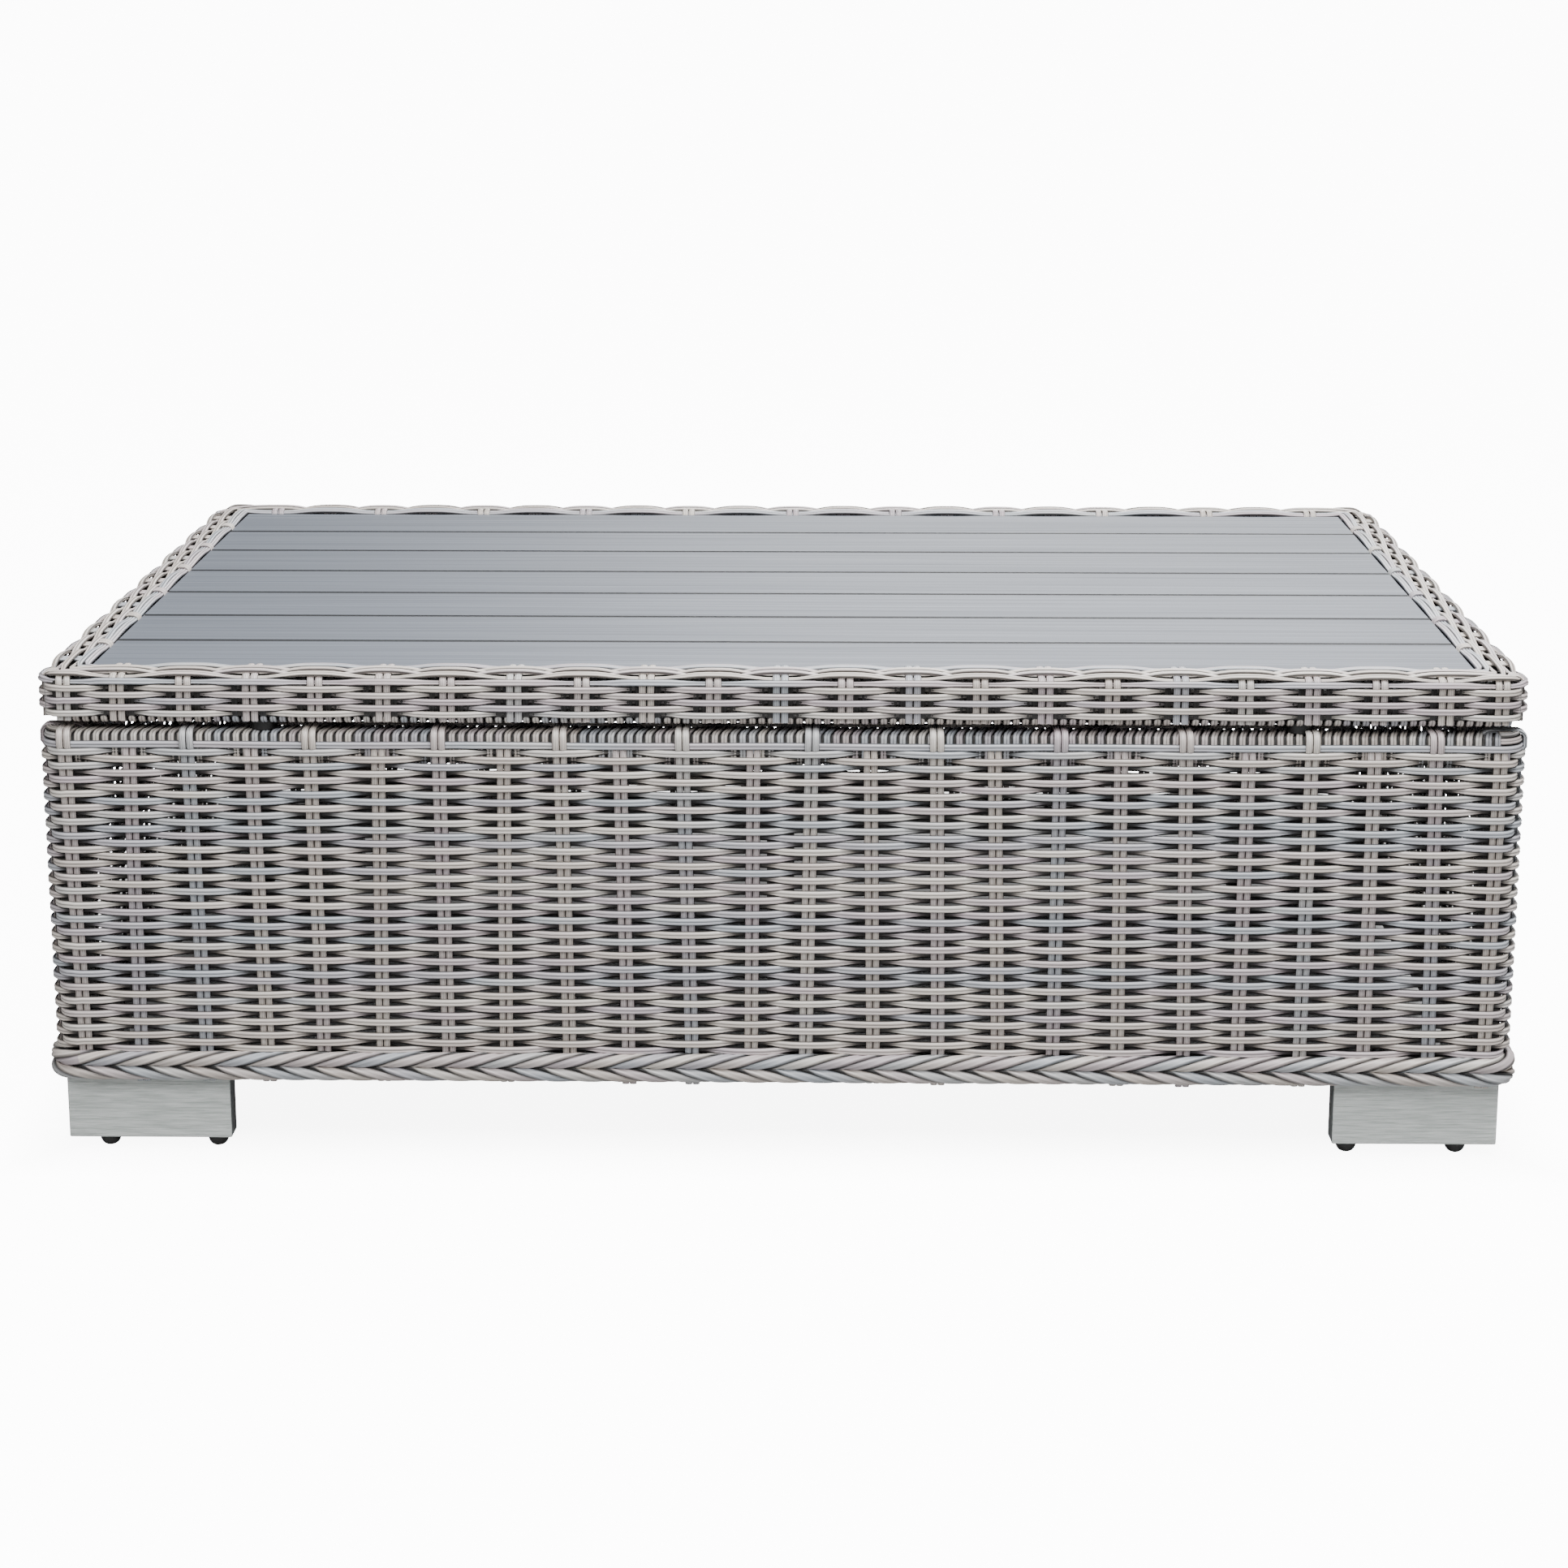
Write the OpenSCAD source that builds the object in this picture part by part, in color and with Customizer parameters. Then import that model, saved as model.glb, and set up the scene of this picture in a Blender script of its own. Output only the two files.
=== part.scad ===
// Woven coffee table: a slatted top frame bolted through spacers to a woven box base on corner feet.
// Origin: centre of the footprint on the floor. +X along the long side, +Z up, the front faces -Y.

/* [Overall] */
// Width over the woven walls
table_w = 1090; // [900:5:1300]
// Depth over the woven walls
table_d = 700; // [550:5:850]
// Height from the floor to the top of the woven rim
table_h = 371.2; // [340:0.2:420]
// Radius of the woven corners, seen from above
corner_r = 20; // [16:1:24]

/* [Top] */
// Height of the woven rim of the top
rim_h = 37.4; // [34:0.2:42]
// Width of the woven rim, seen from above
rim_w = 34; // [32:0.5:44]
// Width of the tube inside the rim
rim_tube_w = 20; // [16:1:22]
// Height of the tube inside the rim
rim_tube_h = 25; // [20:1:26]
// Thickness of the strands lashed under that tube
rim_under = 3; // [2:0.2:4]
// How far the slats lie below the top of the rim
slat_drop = 3.8; // [2:0.2:6]
// Number of slats
slat_count = 7; // [5:1:7]
// Thickness of a slat
slat_t = 12; // [10:0.5:14]
// Gap between two slats
slat_gap = 2.5; // [1.5:0.5:6]
// Width of a cross batten under the slats
batten_w = 25; // [20:1:40]
// Distance of the end battens from the middle of the table
batten_reach = 480; // [300:5:500]
// Clear gap between the top and the base
top_gap = 7.8; // [4:0.2:12]

/* [Base] */
// Side of the square tube of the base frame
frame_tube = 20; // [16:1:24]
// Wall of all the tubes
tube_wall = 1.5; // [1:0.1:2.5]
// Thickness of the woven walls
weave_t = 7; // [6:0.5:8]
// Thickness of the strands lashed round the top rails
wrap_t = 2.5; // [2:0.1:3]
// Length of lashed rail left showing above the woven walls
rail_show = 4.7; // [4:0.1:12]
// How far the plaited border stands out from the woven walls
braid_out = 4; // [2:0.5:6]

/* [Feet] */
// Length of one foot board along the wall
foot_len = 123; // [90:1:160]
// Height of a foot board
foot_h = 50.5; // [35:0.5:60]
// Thickness of a foot board
foot_t = 20; // [16:1:24]
// How far the feet stand in from the woven walls
foot_inset = 8; // [4:0.5:10]
// Radius of a glide
glide_r = 8; // [6:0.5:9]
// Height of a glide
glide_h = 8.5; // [7:0.5:12]

/* [Fasteners] */
// Radius of the bolts that hold the top
bolt_r = 3; // [2.5:0.5:4]
// Radius of the screws
screw_r = 2; // [1.5:0.25:2.5]

/* [Hidden] */

$fn = 48;
SIDES = ["front", "right", "back", "left"];
ENDS = ["left", "right"];
FACES = ["front", "back"];
BATTENS = ["left", "middle", "right"];

// Heights above the floor
foot_z = glide_h;
base_z = foot_z + foot_h;
braid_top = base_z + frame_tube + 0.5;
top_z = table_h - rim_h;
base_top = top_z - top_gap;
rail_z = base_top - wrap_t - frame_tube;
rim_tube_z = top_z + rim_under;
slat_z = table_h - slat_drop - slat_t;
batten_h = slat_z - rim_tube_z;

// Distances in from the woven walls
wrap_in = weave_t;
tube_in = wrap_in + wrap_t;
wrap_w = frame_tube + 2 * wrap_t;
rim_tube_in = (rim_w - rim_tube_w) / 2;
bolt_in = 18;
inner_r = weave_t + 1;

slat_pitch = (table_d - 2 * rim_w) / slat_count;
slat_w = slat_pitch - slat_gap;
slat_len = table_w - 2 * rim_w - 2;
edge_r = 1.5;
rim_edge_r = 6;
long_bolt_x = 380;
screw_spread = 22;
screw_head_r = 4;
screw_head_h = 2.5;
slat_screw_bite = 7.6;
foot_screw_bite = 26;
washer_r = 7;
washer_t = 1;
bolt_head_r = 5.5;
bolt_head_h = 4;
bolt_reach = 12;
nut_r = 4.5;
nut_len = 13;
nut_flange_r = 6.5;
nut_flange_t = 1;
spacer_r = 10;
hole_slack = 0.3;
glide_pin_r = 1.5;
glide_pin_len = 12;
glide_edge = 6;
outer_glide = 29;
inner_glide = 12;
eps = 0.5;

WICKER = [0.70, 0.68, 0.66];
FAUX_WOOD = [0.64, 0.66, 0.67];
FOOT_GREY = [0.72, 0.73, 0.72];
FRAME_GREY = [0.55, 0.55, 0.56];
STEEL = [0.75, 0.75, 0.77];
BLACK = [0.06, 0.06, 0.06];

function is_long(side) = side == "front" || side == "back";
function reach(side) = is_long(side) ? table_d / 2 : table_w / 2;
function span(side) = is_long(side) ? table_w : table_d;
function turn(side) = side == "front" ? 0 : side == "right" ? 90 : side == "back" ? 180 : 270;
// Length left for a piece that stands in by "inset" and is "deep" deep: the long sides keep the corners
function run(side, inset, deep) = span(side) - 2 * (is_long(side) ? inset : inset + deep);
// Bolt places along a side, measured from its middle
function bolt_places(side) = is_long(side) ? [-long_bolt_x, long_bolt_x] : [0];
function sign_of(name) = name == "left" || name == "front" ? -1 : name == "middle" ? 0 : 1;

// Puts children on one side: x along the wall, y = 0 on the woven face, +y into the table
module on_side(side) {
    rotate(turn(side)) translate([0, -reach(side), 0]) children();
}

// A bar along a side, from "inset" to "inset + deep" behind the woven face
module side_bar(side, inset, deep, z, h) {
    length = run(side, inset, deep);
    on_side(side) translate([-length / 2, inset, z]) cube([length, deep, h]);
}

// A square-ended hollow tube along a side
module side_tube(side, inset, deep, z, h) {
    length = run(side, inset, deep) + 2 * eps;
    difference() {
        side_bar(side, inset, deep, z, h);
        on_side(side) translate([-length / 2, inset + tube_wall, z + tube_wall])
            cube([length, deep - 2 * tube_wall, h - 2 * tube_wall]);
    }
}

module rounded_rect(w, d, r) {
    square([w - 2 * r, d], center = true);
    square([w, d - 2 * r], center = true);
    for (x = [-1, 1]) for (y = [-1, 1]) translate([x * (w / 2 - r), y * (d / 2 - r)]) circle(r);
}

// The table's outline, moved in by "inset", as a solid from z to z + h
module outline(inset, r, z, h) {
    translate([0, 0, z]) linear_extrude(h) rounded_rect(table_w - 2 * inset, table_d - 2 * inset, r);
}

// Keeps the part of a wall that belongs to one side; the long sides keep the corners
module share(side, z, h) {
    half = is_long(side) ? table_w : span(side) / 2 - corner_r;
    intersection() {
        children();
        on_side(side) translate([-half, -corner_r, z]) cube([2 * half, 2 * corner_r, h]);
    }
}

// Holes for the bolts, from z to z + h
module bolt_holes(side, r, z, h) {
    on_side(side) for (x = bolt_places(side)) translate([x, bolt_in, z]) cylinder(r = r, h = h);
}

// ---------- top ----------

module top_tube(side) {
    color(FRAME_GREY) difference() {
        side_tube(side, rim_tube_in, rim_tube_w, rim_tube_z, rim_tube_h);
        bolt_holes(side, nut_r, rim_tube_z - eps, tube_wall + 2 * eps);
    }
}

// The woven sleeve round a tube of the top: rounded bar less what it encloses
module top_weave(side) {
    length = is_long(side) ? table_w : table_d - 2 * rim_w;
    color(WICKER) difference() {
        intersection() {
            on_side(side) translate([-length / 2, rim_w / 2, top_z + rim_h / 2])
                rotate([90, 0, 90]) linear_extrude(length) rounded_rect(rim_w, rim_h, rim_edge_r);
            outline(0, corner_r, top_z, rim_h);
        }
        for (s = SIDES) side_bar(s, rim_tube_in, rim_tube_w, rim_tube_z, rim_tube_h);
        for (name = BATTENS) batten_block(name);
        bolt_holes(side, nut_flange_r, top_z - eps, rim_tube_z - top_z + 2 * eps);
    }
}

module batten_block(name) {
    length = table_d - 2 * (rim_tube_in + rim_tube_w);
    translate([sign_of(name) * batten_reach - batten_w / 2, -length / 2, rim_tube_z])
        cube([batten_w, length, batten_h]);
}

// Places of the slat screws on one batten, drilled or filled by the children
module at_slat_screws(name) {
    for (i = [1:slat_count]) for (s = [-1, 1])
        translate([sign_of(name) * batten_reach, slat_y(i) + s * screw_spread, rim_tube_z]) children();
}

module batten(name) {
    hollow = batten_w - 2 * tube_wall;
    color(FRAME_GREY) difference() {
        batten_block(name);
        translate([sign_of(name) * batten_reach - hollow / 2, -table_d / 2, rim_tube_z + tube_wall])
            cube([hollow, table_d, batten_h - 2 * tube_wall]);
        at_slat_screws(name) translate([0, 0, -eps])
            cylinder(r = screw_r + hole_slack, h = batten_h + 2 * eps);
    }
}

function slat_y(i) = -table_d / 2 + rim_w + slat_pitch * (i - 0.5);

module slat(i) {
    color(FAUX_WOOD) difference() {
        translate([-slat_len / 2, slat_y(i), slat_z + slat_t / 2])
            rotate([90, 0, 90]) linear_extrude(slat_len) rounded_rect(slat_w, slat_t, edge_r);
        for (name = BATTENS) at_slat_screws(name) cylinder(r = screw_r, h = batten_h + slat_screw_bite);
    }
}

module slat_screws() {
    color(STEEL) for (name = BATTENS) at_slat_screws(name) {
        translate([0, 0, -screw_head_h]) cylinder(r = screw_head_r, h = screw_head_h);
        cylinder(r = screw_r, h = batten_h + slat_screw_bite);
    }
}

// ---------- fixing of the top to the base ----------

module top_spacers() {
    color(BLACK) for (side = SIDES) difference() {
        bolt_holes(side, spacer_r, base_top, top_gap);
        bolt_holes(side, bolt_r + hole_slack, base_top - eps, top_gap + 2 * eps);
    }
}

module top_bolts() {
    head_z = rail_z - washer_t - bolt_head_h;
    color(STEEL) for (side = SIDES) {
        bolt_holes(side, bolt_head_r, head_z, bolt_head_h);
        bolt_holes(side, bolt_r, head_z, rim_tube_z + bolt_reach - head_z);
    }
}

module top_washers() {
    color(STEEL) for (side = SIDES) difference() {
        bolt_holes(side, washer_r, rail_z - washer_t, washer_t);
        bolt_holes(side, bolt_r + hole_slack, rail_z - washer_t - eps, washer_t + 2 * eps);
    }
}

module top_insert_nuts() {
    color(STEEL) for (side = SIDES) difference() {
        union() {
            bolt_holes(side, nut_flange_r, rim_tube_z - nut_flange_t, nut_flange_t);
            bolt_holes(side, nut_r, rim_tube_z - nut_flange_t, nut_len);
        }
        bolt_holes(side, bolt_r, rim_tube_z - nut_flange_t - eps, nut_len + 2 * eps);
    }
}

// ---------- base frame ----------

module rail_top(side) {
    color(FRAME_GREY) difference() {
        side_tube(side, tube_in, frame_tube, rail_z, frame_tube);
        bolt_holes(side, bolt_r + hole_slack, rail_z - eps, frame_tube + 2 * eps);
    }
}

// Places of the foot screws over one foot board, measured along its side
function foot_screw_places(side) =
    [for (end = [-1, 1]) for (u = foot_screw_insets(side)) end * (span(side) / 2 - foot_inset - u)];
function foot_screw_insets(side) = is_long(side) ? [50, 90] : [40, 95];

module at_foot_screws(side) {
    on_side(side) for (x = foot_screw_places(side))
        translate([x, foot_inset + foot_t / 2, base_z]) children();
}

module rail_bottom(side) {
    color(FRAME_GREY) difference() {
        side_tube(side, tube_in, frame_tube, base_z, frame_tube);
        at_foot_screws(side) translate([0, 0, -eps])
            cylinder(r = screw_r + hole_slack, h = frame_tube + 2 * eps);
    }
}

module post_block(face, name) {
    x = sign_of(name) * (table_w / 2 - tube_in - frame_tube / 2);
    y = sign_of(face) * (table_d / 2 - tube_in - frame_tube / 2);
    z = base_z + frame_tube;
    translate([x - frame_tube / 2, y - frame_tube / 2, z]) cube([frame_tube, frame_tube, rail_z - z]);
}

module post(face, name) {
    x = sign_of(name) * (table_w / 2 - tube_in - frame_tube / 2);
    y = sign_of(face) * (table_d / 2 - tube_in - frame_tube / 2);
    hollow = frame_tube - 2 * tube_wall;
    color(FRAME_GREY) difference() {
        post_block(face, name);
        translate([x - hollow / 2, y - hollow / 2, 0]) cube([hollow, hollow, table_h]);
    }
}

// Strands lashed round a top rail
module rail_wrap(side) {
    color(WICKER) difference() {
        intersection() {
            side_bar(side, wrap_in, wrap_w, rail_z - wrap_t, frame_tube + 2 * wrap_t);
            outline(wrap_in, inner_r, 0, table_h);
        }
        for (s = SIDES) side_bar(s, tube_in, frame_tube, rail_z, frame_tube);
        for (face = FACES) for (name = BATTENS) post_block(face, name);
        bolt_holes(side, washer_r + hole_slack, rail_z - wrap_t - eps, wrap_t + 2 * eps);
        bolt_holes(side, bolt_r + hole_slack, rail_z, frame_tube + 2 * wrap_t);
    }
}

// ---------- woven base ----------

module weave(side) {
    height = base_top - rail_show - braid_top;
    color(WICKER) share(side, braid_top, height) difference() {
        outline(0, corner_r, braid_top, height);
        outline(weave_t, inner_r, braid_top - eps, height + 2 * eps);
    }
}

module braid(side) {
    height = braid_top - base_z;
    color(WICKER) share(side, base_z, height) difference() {
        outline(-braid_out, corner_r + braid_out, base_z, height);
        translate([-table_w / 2 + tube_in, -table_d / 2 + tube_in, 0])
            cube([table_w - 2 * tube_in, table_d - 2 * tube_in, table_h]);
    }
}

// ---------- feet ----------

// Board along the front or back wall
module foot_board(face, end) {
    x = table_w / 2 - foot_inset;
    y = table_d / 2 - foot_inset;
    color(FOOT_GREY) difference() {
        scale([sign_of(end), sign_of(face), 1])
            translate([x - foot_len, y - foot_t, foot_z]) cube([foot_len, foot_t, foot_h]);
        foot_bores();
    }
}

// Board along the end wall, butted against the first
module foot_side_board(face, end) {
    x = table_w / 2 - foot_inset;
    y = table_d / 2 - foot_inset;
    color(FOOT_GREY) difference() {
        scale([sign_of(end), sign_of(face), 1])
            translate([x - foot_t, y - foot_len, foot_z]) cube([foot_t, foot_len - foot_t, foot_h]);
        foot_bores();
    }
}

module foot_bores() {
    for (side = SIDES) at_foot_screws(side)
        translate([0, 0, -foot_screw_bite]) cylinder(r = screw_r, h = foot_h);
    at_glides() cylinder(r = glide_pin_r, h = glide_h + glide_pin_len);
}

module foot_screws() {
    color(STEEL) for (side = SIDES) at_foot_screws(side) {
        translate([0, 0, -foot_screw_bite]) cylinder(r = screw_r, h = foot_screw_bite + frame_tube);
        translate([0, 0, frame_tube]) cylinder(r = screw_head_r, h = screw_head_h);
    }
}

// Two glides under each long board and one under each short board
module at_glides() {
    x = table_w / 2 - foot_inset;
    y = table_d / 2 - foot_inset;
    for (sx = [-1, 1]) for (sy = [-1, 1]) {
        translate([sx * (x - outer_glide), sy * (y - foot_t / 2), 0]) children();
        translate([sx * (x - foot_len + inner_glide), sy * (y - foot_t / 2), 0]) children();
        translate([sx * (x - foot_t / 2), sy * (y - foot_len + inner_glide), 0]) children();
    }
}

module glides() {
    color(BLACK) at_glides() {
        rotate_extrude() intersection() {
            square([glide_r, glide_h]);
            union() {
                square([glide_r - glide_edge, glide_h]);
                translate([glide_r - glide_edge, glide_edge]) circle(glide_edge);
                translate([0, glide_edge]) square([glide_r, glide_h]);
            }
        }
        cylinder(r = glide_pin_r, h = glide_h + glide_pin_len);
    }
}

for (side = SIDES) {
    top_tube(side);
    top_weave(side);
    rail_top(side);
    rail_bottom(side);
    rail_wrap(side);
    weave(side);
    braid(side);
}
for (i = [1:slat_count]) {
    slat(i);
}
for (name = BATTENS) {
    batten(name);
    post("front", name);
    post("back", name);
}
for (face = FACES) for (end = ENDS) {
    foot_board(face, end);
    foot_side_board(face, end);
}
slat_screws();
top_spacers();
top_bolts();
top_washers();
top_insert_nuts();
foot_screws();
glides();
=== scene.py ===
"""Woven coffee table: strands, boards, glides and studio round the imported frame.

Sizes are in millimetres and become metres when a mesh is made.
"""
import math
import random

import bmesh
import bpy
import numpy as np
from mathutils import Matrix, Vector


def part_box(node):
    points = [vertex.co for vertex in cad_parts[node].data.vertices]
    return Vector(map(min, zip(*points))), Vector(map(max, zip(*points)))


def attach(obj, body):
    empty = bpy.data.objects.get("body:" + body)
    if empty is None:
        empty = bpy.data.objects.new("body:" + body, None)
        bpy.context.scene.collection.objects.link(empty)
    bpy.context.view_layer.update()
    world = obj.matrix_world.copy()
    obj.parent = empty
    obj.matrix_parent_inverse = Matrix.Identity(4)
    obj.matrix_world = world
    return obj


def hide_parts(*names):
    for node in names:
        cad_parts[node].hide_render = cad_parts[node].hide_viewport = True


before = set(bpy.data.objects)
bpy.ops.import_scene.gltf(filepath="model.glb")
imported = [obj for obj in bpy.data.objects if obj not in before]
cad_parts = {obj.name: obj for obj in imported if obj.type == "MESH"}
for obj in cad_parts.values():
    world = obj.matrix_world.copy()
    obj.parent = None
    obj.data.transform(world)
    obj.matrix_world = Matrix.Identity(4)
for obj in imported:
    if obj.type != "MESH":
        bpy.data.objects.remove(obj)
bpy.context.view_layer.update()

MM = 0.001
BODY = "root"
SIDES = ("front", "right", "back", "left")
LONG_SIDES = ("front", "back")


def box_mm(node):
    """A node's lowest and highest corners, in millimetres."""
    low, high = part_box(node)
    return np.array(low) / MM, np.array(high) / MM


# ---------- places taken from the frame ----------

UNDER_RAIL = 2.3        # gap from the last row of the weave up to the walls' top

WALL_LOW, WALL_HIGH = box_mm("weave_front")
HALF_W = WALL_HIGH[0]
HALF_D = -WALL_LOW[1]
WALL_Z = (WALL_LOW[2], WALL_HIGH[2] - UNDER_RAIL)
RIM_LOW, RIM_HIGH = box_mm("top_weave_front")
RIM_WIDE = RIM_HIGH[1] - RIM_LOW[1]
RAIL_HIGH = box_mm("rail_wrap_front")[1]
BRAID_LOW, BRAID_HIGH = box_mm("braid_front")
TUBE_LOW, TUBE_HIGH = box_mm("top_tube_front")

# ---------- weave ----------

CORNER_R = 20.0         # radius of the woven corners
WALL_ROWS = 45          # rows of weaver on the walls
ROW_STEPS = 8           # rings of a weaver between two stakes
WEAVER = (2.85, 1.75)   # half width and half thickness of a weaver
WEAVER_TAPER = 0.85     # share of its width that a weaver keeps behind a stake
STAKE = (2.65, 1.6)     # the same for a stake strand
STAKE_PAIR = 2.72       # offset of each strand of a stake from the pair's middle
WALL_IN = 3.5           # how far the stakes stand in from the woven face
WALL_SWING = 2.6        # how far a weaver goes out over and in behind a stake
STAKE_PITCH = 45.0      # from one stake to the next, about
STAKE_SHIFT = 2.2       # how far a stake may stand off its even place
STAKE_LEAN = 3.0        # how far its foot and its top may lean to either side
WALL_STAKES_X = np.linspace(-524, 524, 24)
WALL_STAKES_Y = np.linspace(-329, 329, 15)
RIM_STAKES_X = np.linspace(-484, 484, 21)
RIM_STAKES_Y = np.linspace(-291, 291, 13)
RIM_CORNER_X = 523.0
RIM_CORNER_Y = 328.0

# a strand's section, across and out, 1 at its half width and half thickness: two ridges on the outer face
SECTION = np.array([(1, 0), (0.84, 0.66), (0.45, 1), (0, 0.76), (-0.45, 1), (-0.84, 0.66),
                    (-1, 0), (-0.6, -0.75), (0, -0.9), (0.6, -0.75)])
SECTION_ENDS = np.array([(0, 1, 8, 9), (1, 2, 7, 8), (2, 3, 6, 7), (3, 4, 5, 6)])
ROUND = len(SECTION)

rng = random.Random(20)


def squeezed(wide, front):
    """Width axes that shrink where a weaver passes behind a stake."""
    return wide * np.interp(front, (-0.95, 0.2), (WEAVER_TAPER, 1.0))[:, None]


def wave(phase):
    """+1 where a weaver is over a stake, -1 where it is behind, with a flattened crest."""
    flat = 0.09
    return (np.cos(np.pi * phase) - flat * np.cos(3 * np.pi * phase)) / (1 - flat)


class Strands:
    """Gathers strands, all tubes of oval section, into one mesh."""

    def __init__(self, name):
        self.name = name
        self.points = []
        self.quads = []
        self.notes = []
        self.depths = []
        self.count = 0

    def add(self, centre, wide, thick, size, tone, start=0.0, depth=1.0):
        """Adds a tube along centre; wide and thick are its section's unit axes at each point.

        depth is 1 where the strand lies on the surface and -1 where it is tucked behind others; the
        materials paint shade on it where it is low.
        """
        rings = len(centre)
        across, out = SECTION.T
        points = (centre[:, None, :] + size[0] * across[None, :, None] * wide[:, None, :]
                  + size[1] * out[None, :, None] * thick[:, None, :])
        run = start + np.concatenate([[0.0], np.cumsum(np.linalg.norm(np.diff(centre, axis=0), axis=1))])
        notes = np.empty((rings, ROUND, 3))
        notes[:, :, 0] = run[:, None] * MM
        notes[:, :, 1] = across[None, :]
        notes[:, :, 2] = tone
        depths = np.empty((rings, ROUND))
        depths[:] = np.reshape(depth, (-1, 1))
        first = self.count + np.arange(rings - 1)[:, None] * ROUND
        side = np.arange(ROUND)[None, :]
        after = (side + 1) % ROUND
        quads = np.stack([first + side, first + after, first + ROUND + after, first + ROUND + side], -1)
        self.put(points, quads, notes, depths)
        for ring, ends in ((0, SECTION_ENDS[:, ::-1]), (-1, SECTION_ENDS)):
            self.put(points[ring], ends + self.count, notes[ring], depths[ring])

    def put(self, points, quads, notes, depths):
        self.points.append(points.reshape(-1, 3))
        self.quads.append(quads.reshape(-1, 4))
        self.notes.append(notes.reshape(-1, 3))
        self.depths.append(depths.ravel())
        self.count += len(self.points[-1])

    def build(self, material, *nodes):
        """Makes the mesh, with each point's run, place across, tone and depth for the materials."""
        points = np.concatenate(self.points) * MM
        quads = np.concatenate(self.quads)
        mesh = bpy.data.meshes.new(self.name)
        mesh.vertices.add(len(points))
        mesh.vertices.foreach_set("co", points.ravel())
        mesh.loops.add(quads.size)
        mesh.loops.foreach_set("vertex_index", quads.ravel())
        mesh.polygons.add(len(quads))
        mesh.polygons.foreach_set("loop_start", np.arange(0, quads.size, 4))
        mesh.update(calc_edges=True)
        mesh.polygons.foreach_set("use_smooth", np.ones(len(quads), dtype=bool))
        strand = mesh.attributes.new("strand", "FLOAT_VECTOR", "POINT")
        strand.data.foreach_set("vector", np.concatenate(self.notes).ravel())
        depth = mesh.attributes.new("depth", "FLOAT", "POINT")
        depth.data.foreach_set("value", np.concatenate(self.depths))
        mesh.materials.append(material)
        return place(bpy.data.objects.new(self.name, mesh), "wicker", *nodes)


def place(piece, slot, *nodes):
    """Puts a piece in the scene, on the table's body, in place of the CAD nodes."""
    bpy.context.collection.objects.link(piece)
    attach(piece, BODY)
    if nodes:
        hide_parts(*nodes)
    return piece


def unit(vectors):
    """The same directions with length 1."""
    return vectors / np.linalg.norm(vectors, axis=1)[:, None]


def along(centre):
    """Unit tangents of a path."""
    return unit(np.gradient(centre, axis=0))


def loop(inset, at_x, at_y, steps):
    """A rounded rectangle round the table, with rings between stakes at the given places.

    Returns points and outward normals in plan, and the phase, a whole number at each stake.
    It starts at the first stake of the front and goes round by the right.
    """
    radius = max(CORNER_R - inset, 2.0)
    flat_x = HALF_W - inset - radius
    flat_y = HALF_D - inset - radius
    arc = math.pi / 2 * radius
    stretches = (2 * flat_x, arc, 2 * flat_y, arc, 2 * flat_x, arc, 2 * flat_y, arc)
    ends = np.concatenate([[0.0], np.cumsum(stretches)])
    at_x = np.clip(at_x, -flat_x, flat_x)
    at_y = np.clip(at_y, -flat_y, flat_y)
    stakes = np.concatenate([at_x + flat_x, ends[2] + at_y + flat_y,
                             ends[4] + at_x + flat_x, ends[6] + at_y + flat_y])
    stakes = np.append(stakes, stakes[0] + ends[-1])
    count = len(stakes) - 1
    phase = np.arange(count * steps + 1) / steps
    s = np.interp(phase, np.arange(count + 1), stakes) % ends[-1]
    corner = np.array([[flat_x, -flat_y], [flat_x, flat_y], [-flat_x, flat_y], [-flat_x, -flat_y]])
    points = np.empty((len(s), 2))
    normals = np.empty((len(s), 2))
    for k in range(4):
        # straight side k, then the corner after it
        facing = -math.pi / 2 + k * math.pi / 2
        out = np.array([math.cos(facing), math.sin(facing)])
        way = np.array([-out[1], out[0]])
        on = (s >= ends[2 * k]) & (s <= ends[2 * k + 1])
        points[on] = corner[k - 1] + radius * out + (s[on] - ends[2 * k])[:, None] * way
        normals[on] = out
        on = (s > ends[2 * k + 1]) & (s < ends[2 * k + 2])
        angle = facing + (s[on] - ends[2 * k + 1]) / radius
        round_out = np.stack([np.cos(angle), np.sin(angle)], 1)
        points[on] = corner[k] + radius * round_out
        normals[on] = round_out
    return points, normals, phase


def shares(per_side, parity, steps):
    """Where a row is cut into four: behind a stake near each end of the front and back."""
    n_x, n_y = per_side
    cuts = []
    for first, last in ((0, n_x - 1), (n_x + n_y, 2 * n_x + n_y - 1)):
        cuts.append(first if (first + parity) % 2 else first + 1)
        cuts.append(last if (last + parity) % 2 else last - 1)
    total = 2 * (n_x + n_y)
    bounds = cuts + [cuts[0] + total]
    return [(bounds[k] * steps, bounds[k + 1] * steps) for k in range(4)]


def add_row(pieces, centre, wide, thick, size, parity, per_side, steps, tone, depth):
    """Shares a closed row between the four sides' pieces."""
    total = len(centre) - 1
    for side, (first, last) in zip(SIDES, shares(per_side, parity, steps)):
        pick = np.arange(first, last + 1) % total
        start = first * STAKE_PITCH / steps
        pieces[side].add(centre[pick], wide[pick], thick[pick], size, tone, start, depth[pick])


def flat3(points, z):
    """Points in plan raised to one height, or each to its own."""
    return np.column_stack([points, np.full(len(points), z) if np.isscalar(z) else z])


def facing_axes(normals, angle):
    """A strand's thick and wide axes, where it faces outwards and is turned up by an angle."""
    out3 = flat3(normals, 0.0)
    up = np.tile([0.0, 0.0, 1.0], (len(normals), 1))
    return out3 * math.cos(angle) + up * math.sin(angle), up * math.cos(angle) - out3 * math.sin(angle)


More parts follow.
